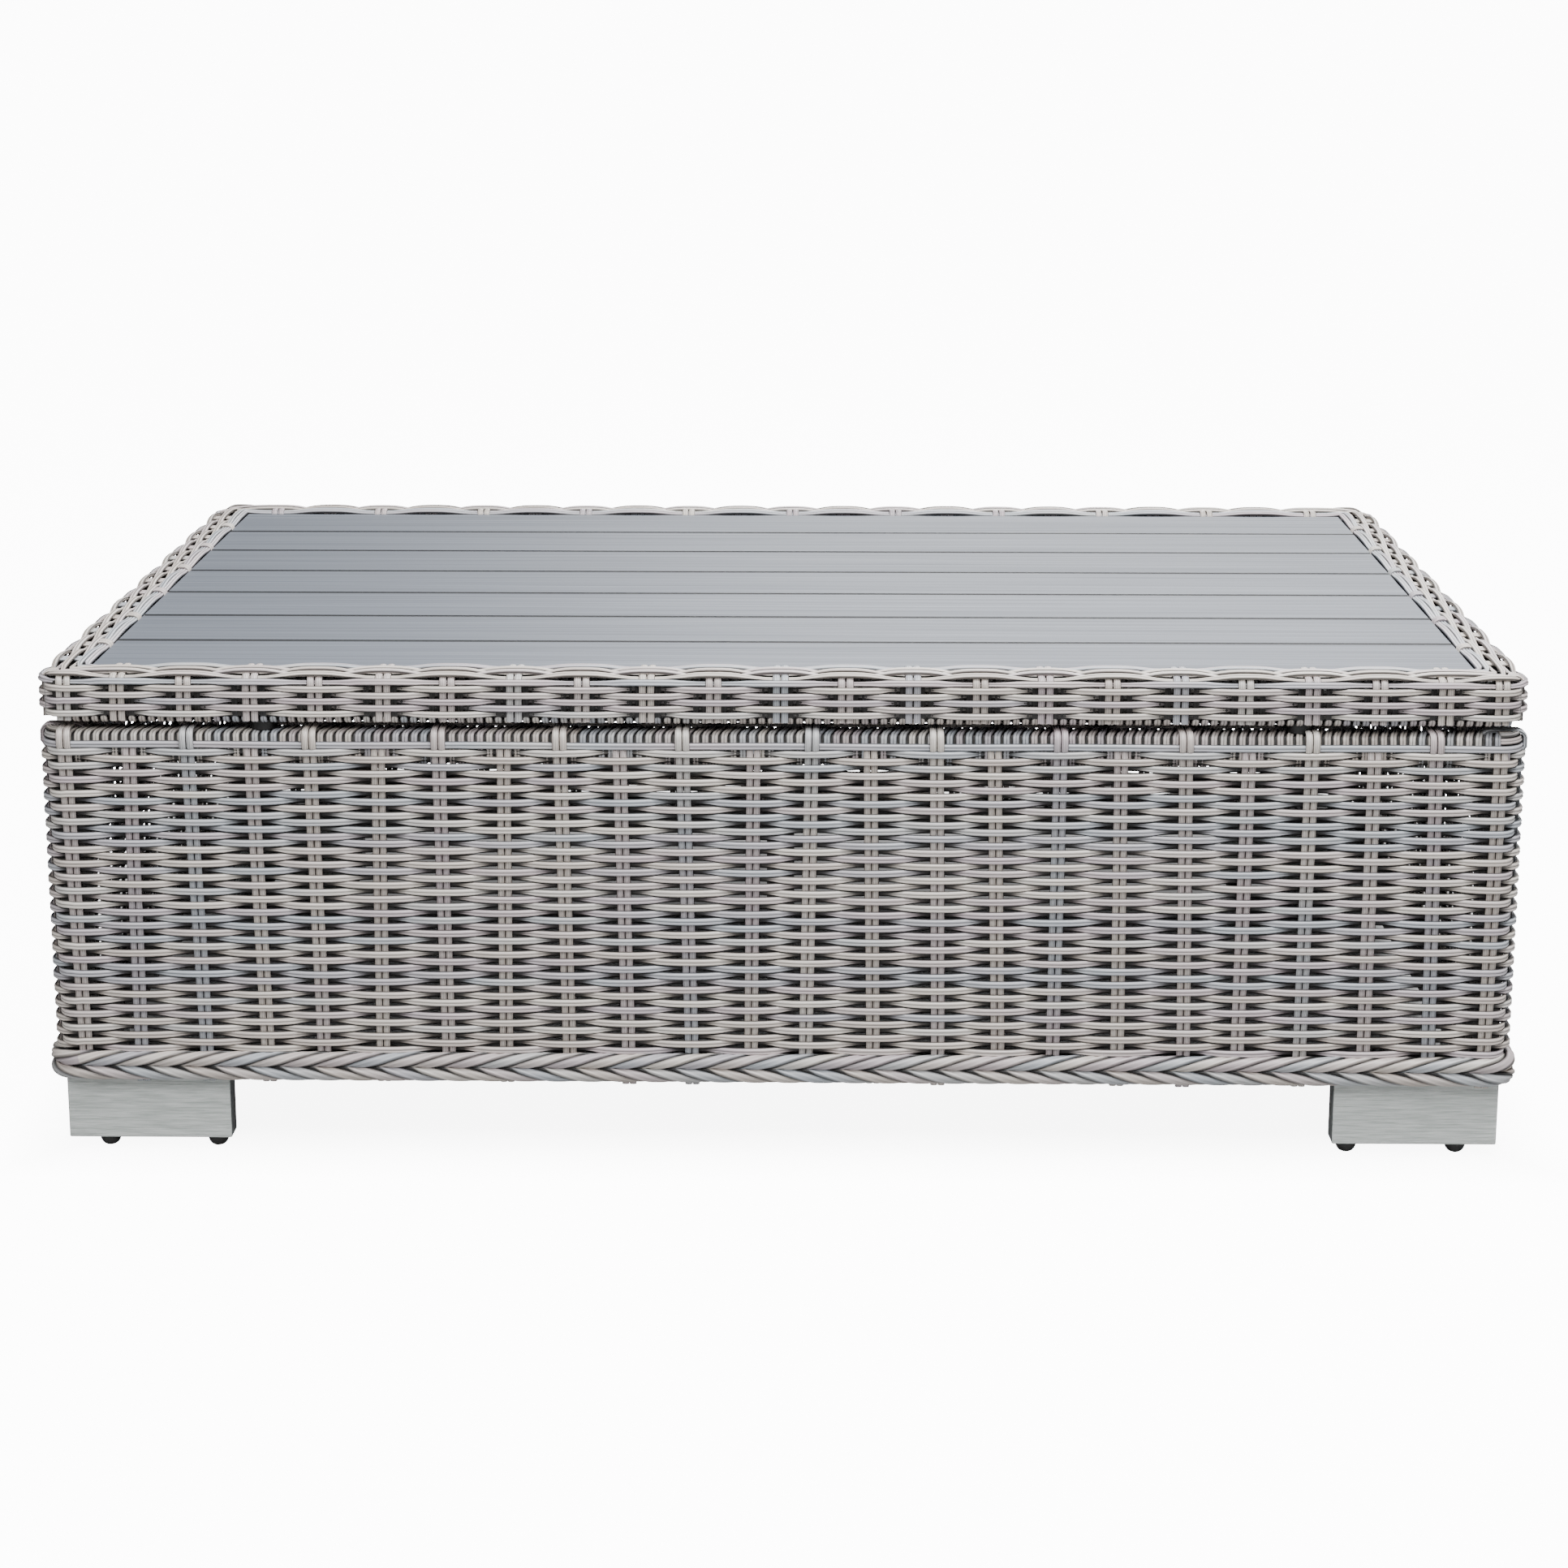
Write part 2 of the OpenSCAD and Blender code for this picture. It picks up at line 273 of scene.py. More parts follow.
# ---------- materials ----------


def srgb(code):
    """Linear colour from a hex code."""
    values = [int(code[i:i + 2], 16) / 255 for i in (0, 2, 4)]
    return [v / 12.92 if v <= 0.04045 else ((v + 0.055) / 1.055) ** 2.4 for v in values] + [1.0]


class Shader:
    """A material with a principled shader and short helpers for its nodes."""

    def __init__(self, name, roughness=0.5):
        self.material = bpy.data.materials.new(name)
        self.material.use_nodes = True
        self.tree = self.material.node_tree
        self.surface = self.tree.nodes["Principled BSDF"]
        self.surface.inputs["Roughness"].default_value = roughness

    def node(self, kind, **settings):
        made = self.tree.nodes.new(kind)
        for key, value in settings.items():
            setattr(made, key, value)
        return made

    def link(self, a, b):
        self.tree.links.new(a, b)

    def feed(self, socket, value):
        """Links an output to a socket, or sets a plain value on it."""
        if hasattr(value, "links"):
            self.link(value, socket)
        else:
            socket.default_value = value

    def math(self, operation, a, b=0.0, c=0.0):
        made = self.node("ShaderNodeMath", operation=operation)
        for socket, value in zip(made.inputs, (a, b, c)):
            self.feed(socket, value)
        return made.outputs[0]

    def vector(self, x, y, z):
        made = self.node("ShaderNodeCombineXYZ")
        for socket, value in zip(made.inputs, (x, y, z)):
            self.feed(socket, value)
        return made.outputs[0]

    def split(self, vector):
        made = self.node("ShaderNodeSeparateXYZ")
        self.link(vector, made.inputs[0])
        return made.outputs

    def noise(self, vector, scale=1.0, detail=2.0, roughness=0.5):
        made = self.node("ShaderNodeTexNoise")
        self.link(vector, made.inputs["Vector"])
        made.inputs["Scale"].default_value = scale
        made.inputs["Detail"].default_value = detail
        made.inputs["Roughness"].default_value = roughness
        return made.outputs["Fac"]

    def span(self, value, low, high, to_low=0.0, to_high=1.0):
        """A value carried linearly from one span to another, and held at the ends."""
        made = self.node("ShaderNodeMapRange")
        self.link(value, made.inputs["Value"])
        for name, number in (("From Min", low), ("From Max", high), ("To Min", to_low), ("To Max", to_high)):
            made.inputs[name].default_value = number
        return made.outputs[0]

    def ramp(self, value, *stops):
        made = self.node("ShaderNodeValToRGB")
        self.link(value, made.inputs["Fac"])
        elements = made.color_ramp.elements
        while len(elements) < len(stops):
            elements.new(0.5)
        for element, (at, colour) in zip(elements, stops):
            element.position = at
            element.color = srgb(colour)
        return made.outputs["Color"]

    def mix(self, fac, a, b, blend="MIX"):
        made = self.node("ShaderNodeMix", data_type="RGBA", blend_type=blend)
        # these are the sockets of a mix node for colours
        self.feed(made.inputs[0], fac)
        self.feed(made.inputs[6], a)
        self.feed(made.inputs[7], b)
        return made.outputs[2]

    def grey(self, value):
        made = self.node("ShaderNodeCombineColor")
        for socket in made.inputs:
            self.feed(socket, value)
        return made.outputs[0]

    def bump(self, height, strength, distance):
        made = self.node("ShaderNodeBump")
        made.inputs["Strength"].default_value = strength
        made.inputs["Distance"].default_value = distance
        self.link(height, made.inputs["Height"])
        self.link(made.outputs["Normal"], self.surface.inputs["Normal"])

    def finish(self, colour, roughness=None):
        self.link(colour, self.surface.inputs["Base Color"])
        if roughness is not None:
            self.link(roughness, self.surface.inputs["Roughness"])
        return self.material


def wicker_material(name, ribs, groove, body=0.7, shade=1.0):
    """Extruded resin strand: tones that differ by strand and drift along it, streaks and fine ribs.

    groove is how bright the grooves between the ribs are painted, shade that of the strand, and body the
    share of its half width from which its edges are painted darker as shade.
    """
    shader = Shader(name)
    attribute = shader.node("ShaderNodeAttribute", attribute_name="strand")
    depth = shader.node("ShaderNodeAttribute", attribute_name="depth").outputs["Fac"]
    run, across, tone = shader.split(attribute.outputs["Vector"])
    # each strand has its own streaks
    seed = shader.math("MULTIPLY", tone, 91.0)
    drift = shader.noise(shader.vector(shader.math("MULTIPLY", run, 5.0), seed, 0.0), detail=1.0)
    place_in_ramp = shader.math("ADD", tone, shader.span(drift, 0.3, 0.7, -0.15, 0.15))
    colour = shader.ramp(shader.math("PINGPONG", place_in_ramp, 1.0), *WICKER_TONES)
    streak_at = shader.vector(shader.math("MULTIPLY", run, 25.0), shader.math("MULTIPLY", across, 3.5), seed)
    streak = shader.noise(streak_at, detail=3.0)
    colour = shader.mix(1.0, colour, shader.grey(shader.span(streak, 0.3, 0.7, 0.9, 1.08)), "MULTIPLY")
    # painted shade: the grooves between the ribs are darkened
    rib = shader.math("COSINE", shader.math("MULTIPLY", across, math.pi * ribs))
    colour = shader.mix(1.0, colour, shader.grey(shader.span(rib, 0.0, 1.0, 1.0, groove)), "MULTIPLY")
    # painted shade: a strand goes dark where it is tucked behind its neighbours, at its two edges before its
    # middle
    shelter_shade = shader.math("MULTIPLY", shader.math("MULTIPLY", across, across), 1.1)
    recess_shade = shader.span(shader.math("SUBTRACT", depth, shelter_shade), -1.0, -0.55, RECESS_SHADE, 1.0)
    # painted shade: each strand also darkens towards its edges, where it meets its neighbours
    edge = shader.span(shader.math("ABSOLUTE", across), body, 1.0, shade, 0.25 * shade)
    colour = shader.mix(1.0, colour, shader.grey(shader.math("MULTIPLY", recess_shade, edge)), "MULTIPLY")
    height = shader.math("SUBTRACT", shader.span(streak, 0.2, 0.8, -0.5, 0.5), rib)
    shader.bump(height, 0.35, 0.0003)
    return shader.finish(colour, shader.span(streak, 0.3, 0.7, 0.34, 0.48))


def board_material(name, pale, dark, axis, streaks, relief, boards=None):
    """Faux wood with grain along one axis of the table.

    streaks is the grain's scale along and across, and boards the first board's start, the pitch
    and the width of each.
    """
    shader = Shader(name)
    coords = shader.node("ShaderNodeTexCoord").outputs["Object"]
    x, y, z = shader.split(coords)
    lengthwise = x if axis == "x" else y
    sideways = y if axis == "x" else x
    grain_at = shader.vector(shader.math("MULTIPLY", lengthwise, streaks[0]),
                             shader.math("MULTIPLY", sideways, streaks[1]),
                             shader.math("MULTIPLY", z, streaks[1]))
    fine = shader.noise(grain_at, detail=3.0, roughness=0.6)
    colour = shader.ramp(shader.span(fine, 0.3, 0.7), (0.0, dark), (1.0, pale))
    if boards:
        start, pitch, width = boards
        place_in = shader.math("DIVIDE", shader.math("SUBTRACT", sideways, start), pitch)
        index = shader.math("FLOOR", place_in)
        white = shader.node("ShaderNodeTexWhiteNoise", noise_dimensions="1D")
        shader.link(index, white.inputs["W"])
        tint = shader.span(white.outputs["Value"], 0.0, 1.0, 0.97, 1.03)
        colour = shader.mix(1.0, colour, shader.grey(tint), "MULTIPLY")
        # painted shade in the gaps and on the rounded edges
        from_start = shader.math("MULTIPLY", shader.math("SUBTRACT", place_in, index), pitch)
        from_edge = shader.math("MINIMUM", from_start, shader.math("SUBTRACT", width, from_start))
        gap_shade = shader.span(from_edge, 0.001, 0.0032, 0.06, 1.0)
        colour = shader.mix(1.0, colour, shader.grey(gap_shade), "MULTIPLY")
    shader.bump(fine, relief, 0.0006)
    return shader.finish(colour, shader.span(fine, 0.3, 0.7, 0.62, 0.5))


def coated_material(name, colour, roughness, metallic=0.0, grain=900.0):
    """Powder coat, zinc plate or moulded plastic with a fine even texture."""
    shader = Shader(name, roughness)
    shader.surface.inputs["Metallic"].default_value = metallic
    coords = shader.node("ShaderNodeTexCoord").outputs["Object"]
    fine = shader.noise(coords, grain, 2.0)
    worn = shader.noise(coords, 18.0, 3.0)
    base = shader.mix(shader.span(worn, 0.35, 0.7), srgb(colour[0]), srgb(colour[1]))
    shader.bump(fine, 0.12, 0.0002)
    return shader.finish(base, shader.span(fine, 0.3, 0.7, roughness - 0.06, roughness + 0.08))


WICKER_TONES = ((0.0, "C6BCB5"), (0.2, "D7CFC6"), (0.4, "C3B7BB"),
                (0.6, "B3B9C0"), (0.8, "DED7CE"), (1.0, "CABFC0"))
# painted shade: how dark a strand is painted where it is tucked away
RECESS_SHADE = 0.03           # how dark a strand gets where it is tucked away
FOOT_TONES = ("D6DAD8", "AAB1AE")

SLAT_LOW, SLAT_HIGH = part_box("slat_1")
SLAT_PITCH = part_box("slat_2")[0][1] - SLAT_LOW[1]
SLAT_WIDE = SLAT_HIGH[1] - SLAT_LOW[1]

wicker = wicker_material("resin_weaver", ribs=2.0, groove=0.36)
# painted shade: the lashings are darker, as the rim above shades them
lashed = wicker_material("resin_lashing", ribs=2.0, groove=0.4, body=0.5, shade=0.8)
plaited = wicker_material("resin_braid", ribs=1.0, groove=0.8, body=0.5, shade=0.82)
ribbed = wicker_material("resin_stake", ribs=4.0, groove=0.5, body=0.8, shade=1.0)
slat_board = board_material("slat_board", "727882", "585D66", "x", streaks=(3.0, 420.0), relief=0.35,
                            boards=(SLAT_LOW[1], SLAT_PITCH, SLAT_WIDE))
foot_board_x = board_material("foot_board", *FOOT_TONES, "x", streaks=(40.0, 800.0), relief=1.0)
foot_board_y = board_material("foot_side_board", *FOOT_TONES, "y", streaks=(40.0, 800.0), relief=1.0)
foot_end = board_material("foot_end_darker", "7B7F80", "5E6264", "y", streaks=(300.0, 300.0), relief=0.6)
powder_coat = coated_material("powder_coat", ("7D7C7B", "6E6D6C"), roughness=0.55)
zinc = coated_material("zinc_plate", ("B9BBBF", "9B9EA3"), roughness=0.32, metallic=1.0, grain=600.0)
black_plastic = coated_material("black_plastic", ("161616", "0C0C0C"), roughness=0.45)

# ---------- camera ----------

CAMERA_AT = (0.036, -2.512, 0.883)
CAMERA_DOWN = 12.43     # degrees below level
CAMERA_LEFT = 0.88      # degrees left of straight ahead
FOCAL = 70.36           # focal length on a sensor 36 mm wide
SHIFT = -0.1            # the lens's vertical shift, as a part of the frame

lens = bpy.data.cameras.new("camera")
lens.lens = FOCAL
lens.sensor_width = 36.0
lens.shift_y = SHIFT
camera = bpy.data.objects.new("camera", lens)
camera.location = CAMERA_AT
camera.rotation_euler = (math.radians(90 - CAMERA_DOWN), 0, math.radians(CAMERA_LEFT))
bpy.context.collection.objects.link(camera)
bpy.context.scene.camera = camera

# ---------- walls ----------


def lean(places, amount, tilt):
    """Each stake's place at the foot and at the top of the wall, a little off its even place."""
    shift = np.array([rng.uniform(-amount, amount) for _ in places])
    slope = np.array([rng.uniform(-tilt, tilt) for _ in places])
    return places + shift - slope, places + shift + slope


stake_lines = {side: lean(WALL_STAKES_X if side in LONG_SIDES else WALL_STAKES_Y, STAKE_SHIFT, STAKE_LEAN)
               for side in SIDES}


def stakes_at(z):
    """Places of the stakes of each side at a height, along +X or +Y."""
    part = (z - WALL_Z[0]) / (WALL_Z[1] - WALL_Z[0])
    return {side: low + (high - low) * part for side, (low, high) in stake_lines.items()}


def wall_loop(inset, z, steps):
    """The loop round the walls at one height, through the leaning stakes."""
    here = stakes_at(z)
    parts = []
    for long_side, short_side, flip in (("front", "right", 1), ("back", "left", -1)):
        parts.append((flip * here[long_side], flip * here[short_side]))
    return two_halves(inset, parts, steps)


def two_halves(inset, parts, steps):
    """A loop whose front and right half differs from its back and left half, which run the other way."""
    (x1, y1), (x2, y2) = parts
    first = loop(inset, np.sort(x1), np.sort(y1), steps)
    second = loop(inset, np.sort(x2), np.sort(y2), steps)
    half = (len(first[0]) - 1) // 2
    points = first[0].copy()
    normals = first[1].copy()
    points[half:] = second[0][half:]
    normals[half:] = second[1][half:]
    # the gap round the back right corner belongs to both; its last rings run from one to the other
    blend = np.linspace(0, 1, steps + 1)[:, None]
    seam = slice(half - steps, half + 1)
    points[seam] = first[0][seam] * (1 - blend) + second[0][seam] * blend
    seam = slice(len(points) - 1 - steps, len(points))
    points[seam] = second[0][seam] * (1 - blend) + first[0][seam] * blend
    return points, normals, first[2]


def wall_weave():
    """The walls' weavers: closed rows, each over the stakes that the row below goes behind."""
    rows = {side: Strands("wall_weavers_" + side) for side in SIDES}
    per_side = (len(WALL_STAKES_X), len(WALL_STAKES_Y))
    pitch = (WALL_Z[1] - WALL_Z[0]) / WALL_ROWS
    up = np.array([0.0, 0.0, 1.0])
    for row in range(WALL_ROWS):
        top = row == WALL_ROWS - 1
        parity = row + 1
        z = WALL_Z[0] + pitch * (row + 0.5)
        points, normals, phase = wall_loop(WALL_IN, z, ROW_STEPS)
        front = wave(phase + parity)
        # the last row lies straight under the lashed rail
        swing = np.full(len(phase), 0.3) if top else front * WALL_SWING * rng.uniform(0.94, 1.06)
        wobble = 0.25 * np.sin(phase * rng.uniform(0.5, 0.8) * 2 * np.pi / 3 + rng.uniform(0, 6))
        wobble[-1] = wobble[0]
        centre = flat3(points + normals * swing[:, None], z + wobble)
        outward = flat3(normals, 0.0)
        over = np.ones(len(phase)) if top else front
        wide = squeezed(np.tile(up, (len(centre), 1)), over)
        add_row(rows, centre, wide, outward, WEAVER, parity, per_side, ROW_STEPS, rng.random(), over)
    return rows


def rail_path(over, stub):
    """A stake's path up the wall, and over the top rail where it goes over: inset and height."""
    tucked = WALL_IN + 2.0
    rail_top = RAIL_HIGH[2] + 1.3
    path = [(tucked, BRAID_LOW[2] - stub), (tucked, BRAID_LOW[2] + 4)]
    path += [(WALL_IN, z) for z in np.linspace(BRAID_HIGH[2] - 6, WALL_Z[1] - 14, 10)]
    if not over:
        return np.array(path + [(WALL_IN + 0.3, WALL_Z[1] - 9), (WALL_IN + 1.6, WALL_Z[1] - 5)])
    bend = 6.0
    quarter = [step * math.pi / 12 for step in range(7)]
    outer = WALL_IN - 3.2
    path += [(WALL_IN + 0.4, WALL_Z[1] - 9), (WALL_IN - 1.4, WALL_Z[1] - 6), (outer, WALL_Z[1] - 3.4)]
    for angle in quarter[1:]:
        path.append((outer + bend * (1 - math.cos(angle)), rail_top - bend + bend * math.sin(angle)))
    inner = RAIL_HIGH[1] + HALF_D + 0.5
    for angle in quarter:
        path.append((inner - bend + bend * math.sin(angle), rail_top - bend + bend * math.cos(angle)))
    # its end hangs down inside the rail
    path.append((inner, rail_top - 22))
    return np.array(path)


def side_frame(side):
    """A side's middle on the woven face, its outward direction and its +way along the wall."""
    turn = SIDES.index(side) * math.pi / 2
    out = np.array([math.sin(turn), -math.cos(turn), 0.0])
    way = np.array([math.cos(turn), math.sin(turn), 0.0])
    return out * (HALF_D if side in LONG_SIDES else HALF_W), out, way


def on_side(side, path, x):
    """Points of a path given as (inset, height) at places x along a side."""
    middle, out, way = side_frame(side)
    return middle + way * x[:, None] - out * path[:, :1] + np.array([0, 0, 1.0]) * path[:, 1:2]


def wall_stakes():
    """The walls' stakes, two strands each; every second one goes over the top rail."""
    pieces = {}
    for number, side in enumerate(SIDES):
        piece = Strands("wall_stakes_" + side)
        low, high = stake_lines[side]
        sign = 1 if side in ("front", "right") else -1
        first = 0 if number in (0, 2) else len(WALL_STAKES_X)
        way = side_frame(side)[2]
        order = np.argsort(sign * (low + high))
        for k, index in enumerate(order):
            over = (first + k) % 2 == 0
            path = rail_path(over, rng.uniform(1.0, 4.5))
            tone = rng.random()
            part = (path[:, 1] - WALL_Z[0]) / (WALL_Z[1] - WALL_Z[0])
            x = sign * (low[index] + (high[index] - low[index]) * np.clip(part, 0, 1.05))
            for offset in (-STAKE_PAIR, STAKE_PAIR):
                centre = on_side(side, path, x + offset)
                wide = np.tile(way, (len(centre), 1))
                piece.add(centre, wide, unit(np.cross(along(centre), wide)), STAKE, tone)
        pieces[side] = piece
    return pieces


# ---------- lashings ----------


LASHING_PITCH = 6.87    # from one turn to the next
LASHING_RINGS = 20      # rings of the strand in one turn
LASHING_GROUP = 8       # turns of one strand
CORNER_STRAND = (2.5, 1.5)
RAIL_LASHING_STRAND = (2.7, 1.4)
RAIL_LASHING_HALF = (12.2, 11.6)
RAIL_LASHING_IN = 17.5  # inset of the middle of the rails' lashings
RAIL_LASHING_DOWN = 12.8    # from the top of the rails' wrap down to that middle
RAIL_LASHING_END = 21   # from the table's outline to where the last turns stand, about
RIM_LASHING_STRAND = (2.8, 1.4)
RIM_LASHING_HALF_IN = 12.4


def section_ring(half_y, half_z, points):
    """A rounded rectangle in a tube's section: inset and height offsets."""
    angle = np.linspace(0, 2 * np.pi, points, endpoint=False)
    squareness = 0.32
    y = half_y * np.sign(np.cos(angle)) * np.abs(np.cos(angle)) ** squareness
    z = half_z * np.sign(np.sin(angle)) * np.abs(np.sin(angle)) ** squareness
    return y, z


def lashing(name, side, centre, half, reach, size, covered=False):
    """Strand wound round a rail, side by side, from one end to the other.

    centre and half are the middle and half the size of the winding's section, as inset and height.
    A covered one is painted dark all round, as shade, but for the underside, which alone is open to view.
    """
    piece = Strands(name)
    out = side_frame(side)[1]
    centre_in, centre_z = centre
    half_z = half[1]
    ring = LASHING_RINGS
    pitch = LASHING_PITCH
    y, z = section_ring(*half, ring)
    # the strand steps along the rail on the top face alone, so it crosses the outer face upright
    flat = (np.abs(np.diff(np.append(y, y[0]))) > np.abs(np.diff(np.append(z, z[0])))) & (z > 0)
    step = np.concatenate([[0.0], np.cumsum(np.where(flat, np.abs(np.diff(np.append(y, y[0]))), 0.0))])
    step = step / step[-1]
    turns = round(2 * reach / pitch) + 1
    begin = -turns * pitch / 2
    for start in range(0, turns, LASHING_GROUP):
        count = min(LASHING_GROUP, turns - start)
        k = np.arange(count * ring + 1)
        index = k % ring
        x = begin + pitch * (start + k // ring + step[index]) + 0.25 * np.sin(k * 0.31 + start)
        path = np.column_stack([centre_in - y[index], centre_z + z[index]])
        line = on_side(side, path, x)
        tangent = along(line)
        outward = unit(-(path[:, :1] - centre_in) * out + np.array([0, 0, 1.0]) * (path[:, 1:2] - centre_z))
        wide = unit(np.cross(tangent, outward))
        # painted shade on a covered lashing, all but its underside
        depth = np.where(z[index] < -0.8 * half_z, 1.0, -1.0) if covered else 1.0
        piece.add(line, wide, unit(np.cross(wide, tangent)), size, rng.random(), depth=depth)
    return piece


def rail_corner(pieces):
    """Strands that turn the corner at the level of the top rails: one on the face, five on top."""
    rows = [(WALL_IN + 0.5, WALL_Z[1] + 3.0)]
    rows += [(WALL_IN + 2.6 + 4.8 * k, RAIL_HIGH[2] + 0.2) for k in range(5)]
    steps = 12
    n_x, n_y = len(WALL_STAKES_X), len(WALL_STAKES_Y)
    last_stakes = (n_x - 1, n_x + n_y - 1, 2 * n_x + n_y - 1, -1)
    for inset, z in rows:
        points, normals, _ = loop(inset, WALL_STAKES_X, WALL_STAKES_Y, steps)
        flatness = min(1.0, max(0.0, (inset - WALL_IN) / 3.0))
        for side, stake in zip(SIDES, last_stakes):
            pick = np.arange(stake * steps, (stake + 1) * steps + 1) % (len(points) - 1)
            thick, wide = facing_axes(normals[pick], flatness * math.pi / 2)
            pieces[side].add(flat3(points[pick], z), wide, thick, CORNER_STRAND, rng.random())


def rail_lashings():
    """The lashings of the top rails, with the strands at their corners."""
    centre = (RAIL_LASHING_IN, RAIL_HIGH[2] - RAIL_LASHING_DOWN)
    pieces = {}
    for side in SIDES:
        reach = (HALF_W if side in LONG_SIDES else HALF_D) - RAIL_LASHING_END
        pieces[side] = lashing("rail_lashing_" + side, side, centre, RAIL_LASHING_HALF,
                               reach, RAIL_LASHING_STRAND)
    rail_corner(pieces)
    return pieces


# ---------- woven rim of the top ----------

RIM_TOP = RIM_HIGH[2]
RIM_SKIN = 3.4          # depth of the rim's stakes under its outer surface
RIM_EDGE = 6.0          # radius of the rim's outer upper edge at the stakes
RIM_SWING = 2.2         # how far its weavers go out and in
RIM_WEAVER = (2.6, 1.7)
RIM_STAKE = (2.8, 1.15)
RIM_STAKE_PAIR = 3.05
RIM_CORNER_STAKE = (2.6, 1.1)
RIM_CORNER_PAIR = 2.9
RIM_CORNER_POINTS = 17  # how much of a stake's path its corner ones keep, up to just past the edge
# each row's place along the rim's section, from low on the outer face to the middle of the top
RIM_ROWS = (-21.8, -17.1, -12.4, -7.7, -3.0, 1.7, 6.8, 11.9, 17.0, 22.2)
# the strands along the slats: inset, drop below the top and facing angle
RIM_INNER = ((RIM_WIDE - 7.0, 0.0, math.pi / 2), (RIM_WIDE - 2.4, 0.4, math.pi / 2 + 0.35),
             (RIM_WIDE - 1.3, 5.6, math.pi))


def rim_place(q):
    """Inset, height and facing angle of a point q mm along the rim's section.

    q = 0 is where the outer face meets the rounded edge; below it q is negative.
    """
    arc = math.pi / 2 * RIM_EDGE
    z_face = RIM_TOP - RIM_SKIN - RIM_EDGE
    if q <= 0:
        return RIM_SKIN, z_face + q, 0.0
    if q < arc:
        angle = q / RIM_EDGE
        return RIM_SKIN + RIM_EDGE * (1 - math.cos(angle)), z_face + RIM_EDGE * math.sin(angle), angle
    inset = RIM_SKIN + RIM_EDGE + q - arc
    inner_edge = RIM_WIDE - 3.0
    inner_r = 3.5
    if inset < inner_edge - inner_r:
        return inset, RIM_TOP - RIM_SKIN, math.pi / 2
    angle = min((inset - inner_edge + inner_r) / inner_r, math.pi / 2)
    over = max(inset - inner_edge + inner_r - inner_r * math.pi / 2, 0.0)
    return (inner_edge - inner_r + inner_r * math.sin(angle),
            RIM_TOP - RIM_SKIN - inner_r * (1 - math.cos(angle)) - over, math.pi / 2 + angle)


def rim_weave():
    """The rim's weavers, on its outer face, round its edge and over its top."""
    rows = {side: Strands("rim_weavers_" + side) for side in SIDES}
    for number, q in enumerate(RIM_ROWS):
        inset, z, angle = rim_place(q)
        outer = inset < RIM_SKIN + RIM_EDGE
        at_x = np.array([-RIM_CORNER_X, *RIM_STAKES_X, RIM_CORNER_X]) if outer else RIM_STAKES_X
        at_y = np.array([-RIM_CORNER_Y, *RIM_STAKES_Y, RIM_CORNER_Y]) if outer else RIM_STAKES_Y
        points, normals, phase = loop(inset, at_x, at_y, ROW_STEPS)
        parity = number + (0 if outer else 1)
        front = wave(phase + parity)
        swing = front * RIM_SWING * rng.uniform(0.92, 1.08)
        thick, wide = facing_axes(normals, angle)
        drift = 0.2 * np.sin(np.round(phase) * 1.7 + number)
        drift[-1] = drift[0]
        centre = flat3(points, z) + thick * swing[:, None] + wide * drift[:, None]
        # on top, light reaches in behind the stakes, so less shade is painted there
        depth = np.maximum(front, -0.3) if q > 1 else front
        add_row(rows, centre, squeezed(wide, front), thick, RIM_WEAVER, parity, (len(at_x), len(at_y)),
                ROW_STEPS, rng.random(), depth)
    # the strands along the slats go over one stake and under the next
    for inset, drop, angle in RIM_INNER:
        points, normals, phase = loop(inset, RIM_STAKES_X, RIM_STAKES_Y, ROW_STEPS)
        thick, wide = facing_axes(normals, angle)
        swing = wave(phase + 1) * 1.3
        centre = flat3(points, RIM_TOP - RIM_SKIN + 0.9 - drop) + thick * swing[:, None]
        add_row(rows, centre, wide, thick, RIM_WEAVER, 1, (len(RIM_STAKES_X), len(RIM_STAKES_Y)),
                ROW_STEPS, rng.random(), np.ones(len(phase)))
    return rows


def rim_stake_path(tab):
    """Inset and height of a stake round the rim, with its end over or under the inner strands."""
    arc = math.pi / 2 * RIM_EDGE
    inner_start = RIM_WIDE - 12.5 - RIM_SKIN - RIM_EDGE + arc
    face = np.linspace(-27.5, -1, 8)
    edge = np.linspace(0, arc, 7)
    top = np.linspace(arc + 2, inner_start, 6)
    path = [rim_place(q)[:2] for q in np.concatenate([face, edge, top])]
    z = RIM_TOP - RIM_SKIN
    if tab:
        path += [(RIM_WIDE - 10.5, z + 1.6), (RIM_WIDE - 7.5, z + 2.6), (RIM_WIDE - 3.5, z + 2.3),
                 (RIM_WIDE - 1.0, z + 0.6), (RIM_WIDE - 0.2, z - 2.2), (RIM_WIDE - 0.6, z - 7.0)]
    else:
        path += [(RIM_WIDE - 9.5, z - 1.2), (RIM_WIDE - 6.0, z - 1.6)]
    return np.array(path)


def rim_stakes():
    """The rim's stakes; the end of every second one lies over the strands along the slats."""
    pieces = {}
    for number, side in enumerate(SIDES):
        piece = Strands("rim_stakes_" + side)
        places = RIM_STAKES_X if side in LONG_SIDES else RIM_STAKES_Y
        corner = RIM_CORNER_X if side in LONG_SIDES else RIM_CORNER_Y
        way = side_frame(side)[2]
        first = number // 2 * (len(RIM_STAKES_X) + len(RIM_STAKES_Y)) + number % 2 * len(RIM_STAKES_X)
        for k, x in enumerate(places):
            add_pair(piece, side, rim_stake_path((first + k) % 2 == 0), x, way, RIM_STAKE_PAIR, RIM_STAKE)
        short = rim_stake_path(False)[:RIM_CORNER_POINTS]
        for x in (-corner, corner):
            add_pair(piece, side, short, x, way, RIM_CORNER_PAIR, RIM_CORNER_STAKE)
        pieces[side] = piece
    return pieces


